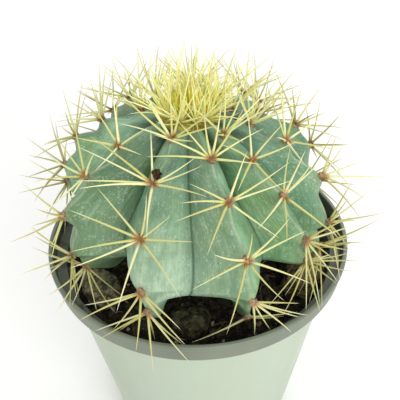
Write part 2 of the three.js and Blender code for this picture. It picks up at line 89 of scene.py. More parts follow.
def closedSurface(rows):
    # rings of points from one end to the other, joined round; each end ring is drawn into one point
    rings, columns = rows.shape[0] - 2, rows.shape[1]
    points = closedValues(rows)
    here = 1 + np.arange(rings * columns).reshape(rings, columns)
    beside = np.roll(here, -1, axis=1)
    start = np.zeros(columns, int)
    end = np.full(columns, len(points) - 1)
    quads = np.stack([here[:-1], beside[:-1], beside[1:], here[1:]], axis=-1).reshape(-1, 4)
    ends = np.concatenate([
        np.stack([start, beside[0], here[0]], axis=-1),
        np.stack([here[-1], beside[-1], end], axis=-1),
    ])
    return points, [quads, ends]


def closedValues(values):
    # numbers or vectors on the same rings
    return np.concatenate([values[0, :1], values[1:-1].reshape(-1, *values.shape[2:]), values[-1, :1]])


def ballRows(columns, rows):
    # rings of a unit ball, from its foot to its top
    turn = 2 * np.pi * np.arange(columns) / columns
    rise = np.linspace(-np.pi / 2, np.pi / 2, rows)[:, None]
    return vectors(np.cos(rise) * np.cos(turn), np.cos(rise) * np.sin(turn), np.sin(rise))


def needles(roots, tips, bows, radii, rings, sides, power, swell=0.0):
    # middle line: root + (tip - root) s + 4 bow s (1 - s), for s from 0 to 1
    # section: a ring of radius (1 - s)^power, thicker by swell at the root
    count = len(roots)
    s = np.linspace(0, 1, rings + 1)[:-1]
    axis = unit(tips - roots)
    helper = np.where(np.abs(axis[:, 2:]) < 0.8, [[0.0, 0.0, 1.0]], [[1.0, 0.0, 0.0]])
    side = unit(np.cross(axis, helper))
    other = np.cross(axis, side)
    angle = 2 * np.pi * np.arange(sides) / sides
    ring = side[:, None] * np.cos(angle)[:, None] + other[:, None] * np.sin(angle)[:, None]
    line = roots[:, None] + (tips - roots)[:, None] * s[:, None]
    line = line + 4 * bows[:, None] * (s * (1 - s))[:, None]
    width = np.broadcast_to(radii, count)[:, None] * (1 - s) ** power
    width = width * (1 + swell * np.exp(-(s / 0.04) ** 2))
    body = line[:, :, None] + ring[:, None] * width[:, :, None, None]
    points = np.concatenate([body.reshape(count, -1, 3), tips[:, None], roots[:, None]], axis=1)
    size = rings * sides + 2
    here = np.arange(rings * sides).reshape(rings, sides)
    beside = np.roll(here, -1, axis=1)
    quads = np.stack([here[:-1], beside[:-1], beside[1:], here[1:]], axis=-1).reshape(-1, 4)
    top = np.stack([here[-1], beside[-1], np.full(sides, size - 2)], axis=-1)
    foot = np.stack([np.full(sides, size - 1), beside[0], here[0]], axis=-1)
    shift = size * np.arange(count)[:, None, None]
    along = np.concatenate([np.repeat(s, sides), [1.0, 0.0]])
    values = {
        "along": np.tile(along, count),
        "tone": np.repeat(draw(np.arange(count), roots[:, 0] * 1000), size),
    }
    return points.reshape(-1, 3), repeated([quads, top, foot], shift), values


def repeated(polygons, shift):
    return [(faces[None] + shift).reshape(-1, faces.shape[1]) for faces in polygons]


def joined(parts):
    # several sets of points, polygons and values as one
    points, polygons, values = [], [], {}
    shift = 0
    for partPoints, partPolygons, partValues in parts:
        points.append(partPoints)
        polygons += [faces + shift for faces in partPolygons]
        for name, value in partValues.items():
            values.setdefault(name, []).append(value)
        shift += len(partPoints)
    return np.concatenate(points), polygons, {name: np.concatenate(value) for name, value in values.items()}


def addObject(name, data):
    made = bpy.data.objects.new(name, data)
    bpy.context.scene.collection.objects.link(made)
    return made


def addPiece(name, material, slot, points, polygons, values=None, replaced=()):
    mesh = bpy.data.meshes.new(name)
    corners = np.concatenate([faces.ravel() for faces in polygons]).astype(np.int32)
    sizes = np.concatenate([np.full(len(faces), faces.shape[1]) for faces in polygons])
    starts = (np.cumsum(sizes) - sizes).astype(np.int32)
    mesh.vertices.add(len(points))
    mesh.vertices.foreach_set("co", points.astype(np.float32).ravel())
    mesh.loops.add(len(corners))
    mesh.loops.foreach_set("vertex_index", corners)
    mesh.polygons.add(len(starts))
    mesh.polygons.foreach_set("loop_start", starts)
    mesh.update(calc_edges=True)
    mesh.shade_smooth()
    for key, value in (values or {}).items():
        kind, field = ("FLOAT_VECTOR", "vector") if value.ndim == 2 else ("FLOAT", "value")
        mesh.attributes.new(key, kind, "POINT").data.foreach_set(field, value.astype(np.float32).ravel())
    mesh.materials.append(material)
    piece = addObject(name, mesh)
    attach(piece, "root")
    if replaced:
        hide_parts(*replaced)
    return piece


# Shader helpers; a socket's or node's id_data is its tree

def feed(tree, made, inputs):
    # links an output to an input, or sets the input's value; a colour is opaque
    for key, value in inputs.items():
        socket = made.inputs[key]
        if isinstance(value, bpy.types.NodeSocket):
            tree.links.new(value, socket)
        else:
            socket.default_value = (*value, 1) if socket.type == "RGBA" else value


def addNode(tree, kind, inputs, **settings):
    # gives the node's outputs
    made = tree.nodes.new("ShaderNode" + kind)
    for key, value in settings.items():
        setattr(made, key, value)
    feed(tree, made, inputs)
    return made.outputs


def mixColour(share, first, second):
    return addNode(share.id_data, "Mix", {0: share, 6: first, 7: second}, data_type="RGBA")[2]


def calculate(tree, operation, first, second):
    return addNode(tree, "Math", {0: first, 1: second}, operation=operation)[0]


def times(first, second):
    return calculate(first.id_data, "MULTIPLY", first, second)


def tint(colour, target, mask, amount):
    return mixColour(times(mask, amount), colour, target)


def vectorMath(operation, first, second):
    return addNode(first.id_data, "VectorMath", {0: first, 1: second}, operation=operation)[0]


def between(value, low, high, toLow=0.0, toHigh=1.0):
    # turns a range of values into another, smoothly and without passing its ends
    inputs = {"Value": value, "From Min": low, "From Max": high, "To Min": toLow, "To Max": toHigh}
    return addNode(value.id_data, "MapRange", inputs, interpolation_type="SMOOTHSTEP")[0]


def attribute(tree, name):
    return addNode(tree, "Attribute", {}, attribute_name=name)["Fac"]


def groupOf(name, output, kind, inputs):
    # an input is a number, a vector of three or a colour of four
    tree = bpy.data.node_groups.new(name, "ShaderNodeTree")
    for label, value in inputs.items():
        what = "NodeSocket" + {1: "Float", 3: "Vector", 4: "Color"}[np.size(value)]
        tree.interface.new_socket(label, in_out="INPUT", socket_type=what).default_value = value
    tree.interface.new_socket(output, in_out="OUTPUT", socket_type="NodeSocket" + kind)
    return tree, tree.nodes.new("NodeGroupInput").outputs, tree.nodes.new("NodeGroupOutput").inputs[0]


def place(tree, group, inputs):
    # a group that reads coordinates gets the Object ones, unless its inputs name others
    if "Where" in group.interface.items_tree and "Where" not in inputs:
        inputs = {**inputs, "Where": addNode(tree, "TexCoord", {})["Object"]}
    return addNode(tree, "Group", inputs, node_tree=group)[0]


def stretched(tree, given):
    # the coordinates, with Z scaled by Stretch
    scale = addNode(tree, "CombineXYZ", {0: 1.0, 1: 1.0, 2: given["Stretch"]})[0]
    return vectorMath("MULTIPLY", given["Where"], scale)


def cloudGroup():
    # soft blotches; Stretch below 1 draws them out along Z
    inputs = {"Where": (0, 0, 0), "Scale": 60.0, "Stretch": 1.0, "Low": 0.35, "High": 0.65}
    tree, given, result = groupOf("cloud", "Value", "Float", inputs)
    inputs = {"Vector": stretched(tree, given), "Scale": given["Scale"], "Detail": 4.0}
    tree.links.new(between(addNode(tree, "TexNoise", inputs)[0], given["Low"], given["High"]), result)
    return tree


def fleckGroup():
    # small marks: the middles of random cells, bent by noise, in the blotches of a wider noise
    inputs = {"Where": (0, 0, 0), "Scale": 500.0, "Stretch": 1.0, "Size": 0.25, "Cover": 0.5}
    tree, given, result = groupOf("flecks", "Mask", "Float", inputs)
    drawn = stretched(tree, given)
    jitter = addNode(tree, "TexNoise", {"Vector": drawn, "Scale": given["Scale"], "Detail": 2.0})
    push = vectorMath("SUBTRACT", jitter["Color"], (0.5, 0.5, 0.5))
    inputs = {0: push, "Scale": calculate(tree, "DIVIDE", 1.6, given["Scale"])}
    push = addNode(tree, "VectorMath", inputs, operation="SCALE")[0]
    inputs = {"Vector": vectorMath("ADD", drawn, push), "Scale": given["Scale"]}
    cells = addNode(tree, "TexVoronoi", inputs)
    inside = between(cells["Distance"], given["Size"], times(given["Size"], 0.5))
    inputs = {"Vector": given["Where"], "Scale": times(given["Scale"], 0.16), "Detail": 3.0}
    wide = addNode(tree, "TexNoise", inputs)[0]
    hidden = calculate(tree, "SUBTRACT", 1.02, given["Cover"])
    shown = between(wide, hidden, calculate(tree, "ADD", hidden, 0.1))
    tree.links.new(times(inside, shown), result)
    return tree


def strandGroup():
    # a strand's colour from root to tip, lighter or darker by its own tone
    black = (0, 0, 0, 1)
    inputs = {"Root": black, "Body": black, "Tip": black, "Root length": 0.14, "Tone": 0.3}
    tree, given, result = groupOf("strand", "Colour", "Color", inputs)
    along = attribute(tree, "along")
    fromRoot = between(along, 0.01, given["Root length"])
    body = mixColour(fromRoot, given["Root"], given["Body"])
    body = mixColour(between(along, 0.6, 1.0), body, given["Tip"])
    lighter = times(calculate(tree, "SUBTRACT", attribute(tree, "tone"), 0.5), given["Tone"])
    value, saturation = calculate(tree, "ADD", lighter, 1.0), calculate(tree, "SUBTRACT", 1.0, lighter)
    inputs = {"Value": value, "Saturation": saturation, "Color": body}
    tree.links.new(addNode(tree, "HueSaturation", inputs)[0], result)
    return tree


cloud = cloudGroup()
flecks = fleckGroup()
strand = strandGroup()


def clouded(tree, scale, low=0.35, high=0.65, stretch=1.0, **where):
    return place(tree, cloud, {"Scale": scale, "Low": low, "High": high, "Stretch": stretch, **where})


def flecked(tree, scale, size, cover, stretch=1.0, **where):
    return place(tree, flecks, {"Scale": scale, "Size": size, "Cover": cover, "Stretch": stretch, **where})


def materialOf(name, specular, roughness, **constants):
    made = bpy.data.materials.new(name)
    made.use_nodes = True
    shader = made.node_tree.nodes["Principled BSDF"]
    constants = {key.replace("_", " "): value for key, value in constants.items()}
    feed(made.node_tree, shader, {"Specular IOR Level": specular, "Roughness": roughness, **constants})
    return made, made.node_tree, shader


def paint(shader, colour):
    shader.id_data.links.new(colour, shader.inputs["Base Color"])


def bump(shader, height, strength, distance):
    tree = shader.id_data
    inputs = {"Height": height, "Strength": strength, "Distance": distance}
    tree.links.new(addNode(tree, "Bump", inputs)[0], shader.inputs["Normal"])


def grainBump(shader, scale, strength, distance):
    bump(shader, clouded(shader.id_data, scale, 0.3, 0.7), strength, distance)


def strandMaterial(name, root, body, tip, shape, surface, mixedBy="", **constants):
    # shape is how far the root's colour reaches and how much the tones differ, surface the specular
    # level and roughness; a pair of colours is mixed by the named attribute
    material, tree, shader = materialOf(name, *surface, **constants)
    inputs = {"Root length": shape[0], "Tone": shape[1]}
    for key, colour in (("Root", root), ("Body", body), ("Tip", tip)):
        inputs[key] = mixColour(attribute(tree, mixedBy), *colour) if len(colour) == 2 else colour
    paint(shader, place(tree, strand, inputs))
    return material


def mottledMaterial(name, specular, patch, colours, relief, grains=None):
    # two colours in patches, grains of a third and a fine relief
    material, tree, shader = materialOf(name, specular, 0.95)
    colour = mixColour(clouded(tree, *patch), *colours[:2])
    if grains:
        colour = tint(colour, colours[2], flecked(tree, *grains[:3]), grains[3])
    paint(shader, colour)
    grainBump(shader, *relief)
    return material


# Camera, floor and light

view = {
    "target": np.array([1.65, 0, 121.59]) * mm,
    "distance": 255.15 * mm,
    "elevation": 37.5,
    "roll": -2.06,
    "lens": 54,
}

studio = {
    "worldStrength": 0.85,
    "lights": {"keyLight": (5.0, 0.7, (0.4, -0.8, 0.62)), "backLight": (2.2, 0.8, (0.25, 0.7, 0.6))},
    "lightTarget": (0, 0, 0.1),
    "floorColour": (0.93, 0.93, 0.92),
    "floorWidth": 6.0,
}


def aimedMatrix(place, back, roll=0.0):
    # columns: right, up, back; the roll turns right and up about the line of sight
    back = unit(np.array(back, float))
    right = unit(np.cross([0.0, 0.0, 1.0], back))
    up = np.cross(back, right)
    turn = np.radians(roll)
    turned = right * np.cos(turn) + up * np.sin(turn), up * np.cos(turn) - right * np.sin(turn)
    matrix = np.eye(4)
    matrix[:3] = np.stack([*turned, back, place], axis=1)
    return Matrix(matrix.tolist())


def addCamera():
    data = bpy.data.cameras.new("camera")
    data.sensor_width = 36
    data.lens = view["lens"]
    data.clip_start = 0.01
    camera = addObject("camera", data)
    rise = np.radians(view["elevation"])
    back = np.array([0, -np.cos(rise), np.sin(rise)])
    camera.matrix_world = aimedMatrix(view["target"] + back * view["distance"], back, view["roll"])
    bpy.context.scene.camera = camera


def addAreaLight(name, power, size, place):
    data = bpy.data.lights.new(name, "AREA")
    data.shape = "DISK"
    data.size = size
    data.energy = power
    addObject(name, data).matrix_world = aimedMatrix(place, np.array(place) - studio["lightTarget"])


def addStudio():
    world = bpy.data.worlds.new("softLight")
    world.use_nodes = True
    background = world.node_tree.nodes["Background"]
    background.inputs["Color"].default_value = (1, 1, 0.985, 1)
    background.inputs["Strength"].default_value = studio["worldStrength"]
    bpy.context.scene.world = world
    bpy.context.scene.view_settings.view_transform = "Standard"
    for name, light in studio["lights"].items():
        addAreaLight(name, *light)
    half = studio["floorWidth"] / 2
    mesh = bpy.data.meshes.new("floor")
    corners = [(-half, -half, 0), (half, -half, 0), (half, half, 0), (-half, half, 0)]
    mesh.from_pydata(corners, [], [(0, 1, 2, 3)])
    mesh.materials.append(materialOf("paleFloor", 0.5, 0.9, Base_Color=studio["floorColour"])[0])
    addObject("floor", mesh)


addCamera()
addStudio()
print("stage: camera, floor and light")


# Pot

pot = {
    "height": 105 * mm,
    "rimRadius": 65 * mm,
    "rimDepth": 9 * mm,
    "rimLip": 1.8 * mm,
    "wallTopRadius": 59.3 * mm,
    "baseRadius": 44 * mm,
    "wall": 1.6 * mm,
    "floor": 2 * mm,
    "holeRadius": 4.5 * mm,
    "holeRing": 31 * mm,
    "holes": 6,
    "sides": 192,
}
pot["bandFoot"] = pot["height"] - pot["rimDepth"]
pot["slope"] = (pot["wallTopRadius"] - pot["baseRadius"]) / pot["bandFoot"]


def roundedProfile(corners, steps):
    # each corner [radius, height, rounding] becomes a quadratic curve between points that far from it
    place = np.array([corner[:2] for corner in corners])
    rounding = np.array([corner[2] for corner in corners])[:, None]
    before = place + unit(np.roll(place, 1, axis=0) - place + 1e-12) * rounding
    after = place + unit(np.roll(place, -1, axis=0) - place + 1e-12) * rounding
    t = np.linspace(0, 1, steps)[:, None]
    curves = [(1 - t) ** 2 * b + 2 * t * (1 - t) * p + t * t * a for b, p, a in zip(before, place, after)]
    return np.concatenate([place[:1]] + curves[1:-1] + [place[-1:]])


def turnedRows(profile, sides):
    azimuth = 360 * np.arange(sides) / sides
    return around(azimuth[None], profile[:, :1], profile[:, 1:])


def potMaterial():
    material, tree, shader = materialOf("potPlastic", 0.4, 0.5)
    height = addNode(tree, "SeparateXYZ", {0: addNode(tree, "TexCoord", {})["Object"]})[2]
    # the rim band is coloured darker than the wall below it: painted shade
    inBand = between(height, 95.6 * mm, 96.4 * mm)
    colour = mixColour(inBand, (0.44, 0.52, 0.41), (0.145, 0.17, 0.125))
    shade = clouded(tree, 45.0, 0.3, 0.75, 0.3)
    colour = tint(colour, (0.50, 0.52, 0.40), shade, 0.22)
    # painted shade on the inside of the wall
    colour = tint(colour, (0.085, 0.105, 0.075), attribute(tree, "innerShade"), 0.8)
    # more painted shade on the inner wall towards the soil, in brown cloudy patches
    innerLowShadeMask = times(clouded(tree, 160.0, 0.45, 0.7, 0.6), attribute(tree, "innerLowShade"))
    colour = mixColour(innerLowShadeMask, colour, (0.05, 0.04, 0.025))
    paint(shader, tint(colour, (0.25, 0.25, 0.19), flecked(tree, 700.0, 0.3, 0.48), 0.3))
    tree.links.new(between(shade, 0.0, 1.0, 0.38, 0.55), shader.inputs["Roughness"])
    bump(shader, clouded(tree, 900.0, 0.2, 0.8), 0.12, 0.2 * mm)
    return material


def addPot():
    steps = 5
    fields = ("height", "bandFoot", "slope", "wall", "floor", "baseRadius", "wallTopRadius", "rimRadius")
    top, bandFoot, slope, wall, floor, base, wallTop, rim = (pot[field] for field in fields)
    innerTop, innerRim = wallTop - wall, rim - pot["rimLip"]
    profile = roundedProfile([
        [0, 0, 0],
        [base, 0, 1.2 * mm],
        [base + slope * (bandFoot - 3 * mm), bandFoot - 3 * mm, 0.6 * mm],
        [wallTop, bandFoot - 0.6 * mm, 0.5 * mm],
        [rim - 1.4 * mm, bandFoot, 0.6 * mm],
        [rim - 0.7 * mm, top - 2.6 * mm, 0.7 * mm],
        [rim, top - 1.9 * mm, 0.4 * mm],
        [rim, top, 0.7 * mm],
        [innerRim, top, 0.6 * mm],
        [innerRim - 0.5 * mm, bandFoot + wall, 0.8 * mm],
        [innerTop + 0.5 * mm, bandFoot + wall, 0.5 * mm],
        [innerTop, bandFoot, 0.5 * mm],
        [base - wall + slope * floor, floor, 1 * mm],
        [0, floor, 0],
    ], steps)
    foot = steps + 1  # rows up to the wall's foot
    wallStretch = mix(profile[foot - 1], profile[foot], np.linspace(0, 1, 9)[1:-1, None])
    profile = np.concatenate([profile[:foot], wallStretch, profile[foot:]])
    rows = turnedRows(profile, pot["sides"])
    points, polygons = closedSurface(rows)
    inside = 4 * steps + 2  # the last four curves, the floor's middle and one row above
    isInner = np.arange(len(profile)) >= len(profile) - inside
    height = rows[..., 2]
    # the inside of the wall takes painted shade
    innerShade = np.where(isInner[:, None], smooth(top, top - 1.5 * mm, height), 0)
    # painted shade, darker towards the soil, and a little over all the inner wall
    innerLowShade = innerShade * smooth(104 * mm, 95 * mm, height) + 0.25 * innerShade
    values = {"innerShade": closedValues(innerShade), "innerLowShade": closedValues(innerLowShade)}
    cutDrainHoles(addPiece("nurseryPot", potMaterial(), "pot_plastic", points, polygons, values, ["pot"]))


def cutDrainHoles(piece):
    radius, foot, top = pot["holeRadius"], -3 * mm, 6 * mm
    ring = np.array([[0, foot], [radius, foot], [radius, top], [0, top]])
    middles = around(360 * np.arange(pot["holes"]) / pot["holes"], pot["holeRing"], 0)
    pegs = [(*closedSurface(turnedRows(ring, 32) + middle), {}) for middle in middles]
    points, polygons = joined(pegs)[:2]
    mesh = bpy.data.meshes.new("drainHoles")
    mesh.from_pydata(points.tolist(), [], [face for faces in polygons for face in faces.tolist()])
    cutter = addObject("drainHoles", mesh)
    modifier = piece.modifiers.new("holes", "BOOLEAN")
    modifier.operation = "DIFFERENCE"
    modifier.solver = "EXACT"
    modifier.object = cutter
    bpy.context.view_layer.update()
    cut = bpy.data.meshes.new_from_object(piece.evaluated_get(bpy.context.evaluated_depsgraph_get()))
    piece.modifiers.clear()
    piece.data = cut
    bpy.data.objects.remove(cutter)


addPot()
print("pot: turned wall, rim and drain holes")


# Stem

stem = {
    "radius": 60 * mm,
    "rise": 38.5 * mm,
    "middle": np.array([-1, 0, 125]) * mm,
    "lowerPower": 0.85,
    "crestSoftness": 0.06,
    "furrowTurn": (4, 42),
    "girthTurn": (5, 28),
    "bendTurn": (20, -30),
    "leg": (0.2, 1.4),
    "legEnd": (16, 42),
    "dip": (0.75, 0.42),
    "furrowFade": 72,
    "lowest": -66,
    "neckRadius": 15 * mm,
    "neckTop": 85 * mm,
    "neckFoot": 75 * mm,
    "columns": 44,
    "rows": 132,
    "creaseDepth": 0.010,
    "creaseWidth": 0.035,
    "bump": 0.7 * mm,
}

# a crest's azimuth, lean, drop in mm, and girth above and below the widest level, then its next furrow's
# share of the crests' radius above and below, drop in mm and bend, then how deep the crest dips in mm, and
# the areoles' latitudes
ribs = [
    (-18, -0.06, 36, 1, 1, 0.72, 0.93, 15, -5, 4, [73, 52, 29, 2, -12]),
    (19, -0.06, 40, 1, 1, 0.46, 0.80, 11, 0, 4, [63, 44, 18, -6, -28]),
    (44.5, -0.06, 8, 1, 0.97, 0.62, 0.78, 9, 0, 4, [72, 57, 38, 13, -8]),
    (64, 0.2, 25, 1, 0.95, 0.52, 0.74, 21, 0, 4, [67, 52, 30, 3, -14]),
    (109, -0.06, 35, 0.95, 0.90, 0.50, 0.74, 25, 0, 1, [73, 60, 38, 18, -8]),
    (146, -0.06, 38, 1, 1, 0.52, 0.74, 27, 0, 2, [70, 50, 30, 8, -14]),
    (182, -0.06, 36, 1, 1, 0.50, 0.74, 26, 0, 3, [74, 55, 34, 12, -10]),
    (221, -0.06, 30, 1.04, 1, 0.52, 0.74, 16, 0, 1.5, [68, 47, 26, 4, -18]),
    (253, -0.06, 11, 1, 0.98, 0.50, 0.74, 10, 0, 4, [70, 50, 31, 8, -10]),
    (302, -0.06, 26, 1, 0.94, 0.44, 0.74, 12, 2, 4, [60, 42, 20, -8, -24]),
]
fields = ["azimuth", "lean", "drop", "girthAbove", "girthBelow", "above", "below", "furrowDrop", "bend"]
ribValues = {field: np.array([rib[i] for rib in ribs]) for i, field in enumerate(fields)}
ribValues["lastAreole"] = np.array([rib[10][-1] for rib in ribs])


def acrossRib(where):
    # 0 on a crest, 1 in a furrow
    return 1 - np.abs(2 * (where % 1) - 1)


def furrowShare(across, above):
    # flat flanks and a narrow crest high up, a round crest and furrow low down
    def soft(value):
        return np.hypot(value, stem["crestSoftness"]) - stem["crestSoftness"]
    return mix(across * across * (3 - 2 * across), soft(across) / soft(1), above)


def stemSkin(where, latitude):
    # ellipse in latitude, flatter or deeper by rib, drawn in between the crests; where counts crests
    index = np.floor(where).astype(int) % len(ribs)
    here = {field: value[index] for field, value in ribValues.items()}
    after = {field: value[(index + 1) % len(ribs)] for field, value in ribValues.items()}
    share, across = where % 1, acrossRib(where)

    def blend(field):
        return mix(here[field], after[field], share)

    turn = np.where(after["azimuth"] < here["azimuth"], 360, 0)
    azimuth = blend("azimuth") + turn * share + blend("lean") * latitude
    azimuth = azimuth + here["bend"] * across * smooth(*stem["bendTurn"], latitude)
    fade = np.clip((latitude - stem["furrowFade"]) / (90 - stem["furrowFade"]), 0, 1) ** 1.5
    above = smooth(*stem["furrowTurn"], latitude)
    girth = mix(blend("girthBelow"), blend("girthAbove"), smooth(*stem["girthTurn"], latitude))
    deep = furrowShare(across, above) * (1 - fade)
    radius = stem["radius"] * girth * (1 - (1 - mix(here["below"], here["above"], above)) * deep)
    crease = np.exp(-((1 - across) / stem["creaseWidth"]) ** 2) * (1 - fade) * smooth(-30, 5, latitude)
    radius = radius * (1 - stem["creaseDepth"] * crease)
    width, power = stem["leg"]
    leg = np.exp(-(across / width) ** power)
    leg = leg * (1 - smooth(*stem["legEnd"], blend("lastAreole") - latitude))
    drop = mix(here["furrowDrop"], blend("drop"), leg) * mm
    angle = np.radians(latitude)
    sine = np.abs(np.sin(angle))
    height = np.where(latitude > 0, stem["rise"] * sine, -drop * sine ** stem["lowerPower"])
    return around(azimuth, radius * np.cos(angle), height) + stem["middle"]


def areoleFrames():
    # each areole's middle on its crest, outwards, towards the crown, and along the ring
    frames = {}
    for number, rib in enumerate(ribs):
        for order, latitude in enumerate(rib[10]):
            crest = np.full(3, float(number))
            low, middle, high = stemSkin(crest, latitude + np.array([-1.0, 0.0, 1.0]))
            along = unit(high - low)
            level = around(rib[0] + rib[1] * latitude + 90, 1.0, 0.0)
            out = unit(np.cross(level, along))
            frames[f"{number + 1}_{order + 1}"] = (middle, out, along, np.cross(along, out))
    return frames


areoles = areoleFrames()


def skinMaterial():
    # layers: patches, bloom, each flank's lightness (partly painted light and shade), wrinkles, streaks,
    # crests with a painted highlight, blotches, flecks, painted shade in the hollows and furrows, dots,
    # areoles
    material, tree, shader = materialOf("waxySkin", 0.35, 0.5)
    across, rise = attribute(tree, "across"), attribute(tree, "rise")
    grain = addNode(tree, "Attribute", {}, attribute_name="grain")["Vector"]
    broad = clouded(tree, 42.0, 0.35, 0.65, 0.7)
    green = mixColour(broad, (0.095, 0.205, 0.08), (0.20, 0.345, 0.16))
    blue = mixColour(broad, (0.09, 0.20, 0.125), (0.205, 0.355, 0.25))
    colour = mixColour(attribute(tree, "cool"), green, blue)
    colour = tint(colour, (0.25, 0.36, 0.15), clouded(tree, 85.0, 0.42, 0.68, 0.55), 0.4)
    pale = times(attribute(tree, "bloom"), between(broad, 0.0, 1.0, 0.6, 0.9))
    colour = mixColour(pale, colour, (0.43, 0.57, 0.41))
    # each flank lighter or darker by its own value: partly its own tone, partly painted light and shade
    colour = addNode(tree, "HueSaturation", {"Value": attribute(tree, "pale"), "Color": colour})[0]
    wrinkle = clouded(tree, 1300.0, 0.3, 0.7, 0.1, Where=grain)
    colour = tint(colour, (0.06, 0.14, 0.065), wrinkle, 0.25)
    streak = clouded(tree, 620.0, 0.5, 0.75, 0.16, Where=grain)
    bloom = times(streak, between(broad, 0.0, 1.0, 0.15, 0.5))
    colour = mixColour(bloom, colour, (0.40, 0.53, 0.41))
    # a pale line along each crest, broken into patches: a painted highlight
    crestHighlightBreaks = clouded(tree, 260.0, 0.3, 0.6, 0.5, Where=grain)
    crest = times(between(across, 0.085, 0.0), between(crestHighlightBreaks, 0.0, 1.0, 0.2, 0.6))
    colour = mixColour(crest, colour, (0.46, 0.57, 0.39))
    colour = tint(colour, (0.075, 0.17, 0.085), clouded(tree, 330.0, 0.35, 0.65, 0.6, Where=grain), 0.3)
    for light, scale, size, cover in (((0.55, 0.66, 0.56), 1500.0, 0.42, 0.56),
                                      ((0.57, 0.67, 0.56), 1000.0, 0.34, 0.51)):
        colour = tint(colour, light, flecked(tree, scale, size, cover, 0.5, Where=grain), 0.4)
    # painted shade in the furrows' hollows near the crown, weaker on the two flanks that face the front
    hollowShade = times(times(between(across, 0.25, 0.85), between(rise, 0.54, 0.70)), attribute(tree, "hollowShade"))
    colour = mixColour(hollowShade, colour, (0.02, 0.055, 0.038))
    # darker towards the furrows above the equator: partly painted shade in the furrows, partly the furrows'
    # cleaner, darker skin
    furrow = times(between(across, 0.72, 1.0), between(rise, -0.3, 0.3, 0.0, 0.4))
    colour = mixColour(furrow, colour, (0.05, 0.115, 0.06))
    # a thin dark line along each furrow's floor: painted shade in the crease
    line = times(between(across, 0.955, 1.0), between(rise, -0.5, 0.0, 0.2, 0.8))
    colour = mixColour(line, colour, (0.035, 0.085, 0.04))
    colour = tint(colour, (0.08, 0.15, 0.07), flecked(tree, 1250.0, 0.35, 0.5, 0.7, Where=grain), 0.4)
    paint(shader, tint(colour, (0.30, 0.31, 0.15), attribute(tree, "nearAreole"), 0.3))
    tree.links.new(between(bloom, 0.0, 0.5, 0.42, 0.62), shader.inputs["Roughness"])
    bump(shader, calculate(tree, "ADD", streak, times(wrinkle, 1.4)), 0.3, 0.35 * mm)
    return material


# two flanks to a rib, from the first crest on: how pale each is, partly its own tone and partly painted
# light and shade, how blue, and how much painted shade darkens it by the crown
flankToneAndLight = [1.12, 0.9, 1.6, 1.42, 1.45, 1.3, 0.8, 1.2, 1.0, 0.95,
             1.05, 1.0, 0.92, 1.04, 0.97, 1.05, 1.65, 1.25, 0.85, 1.35]
flankCool = [0.6, 0.45, 0.5, 0.2, 0.3, 0.6, 0.2, 0.8, 0.4, 0.5,
             0.6, 0.4, 0.5, 0.6, 0.4, 0.5, 0.5, 0.3, 0.1, 0.7]
flankHollowShade = [0.15, 0.25, 0.9, 0.7] + [0.85] * 16


def byFlank(values, where):
    # each flank keeps its value, and the values blend over its edges
    values = np.array(values)
    place = 2 * where - 0.5
    flank = np.floor(place).astype(int)
    here, after = flank % len(values), (flank + 1) % len(values)
    return mix(values[here], values[after], smooth(0.25, 0.75, place - flank))


def shrinkAt(where, latitude):
    # a crest dips between two areoles: sin^2(pi t^0.75), for t from 0 at the upper to 1 at the lower one
    power, width = stem["dip"]
    nearest = np.round(where).astype(int) % len(ribs)
    dips = np.zeros(latitude.shape)
    for number, rib in enumerate(ribs):
        for upper, lower in zip(rib[10][:-1], rib[10][1:]):
            t = np.clip((upper - latitude) / (upper - lower), 0, 1)
            dips += (nearest == number) * rib[9] * mm * np.sin(np.pi * t ** power) ** 2
    dips = dips * np.exp(-(acrossRib(where) / width) ** 2) * smooth(-30, 0, latitude)
    return 1 - dips / stem["radius"]


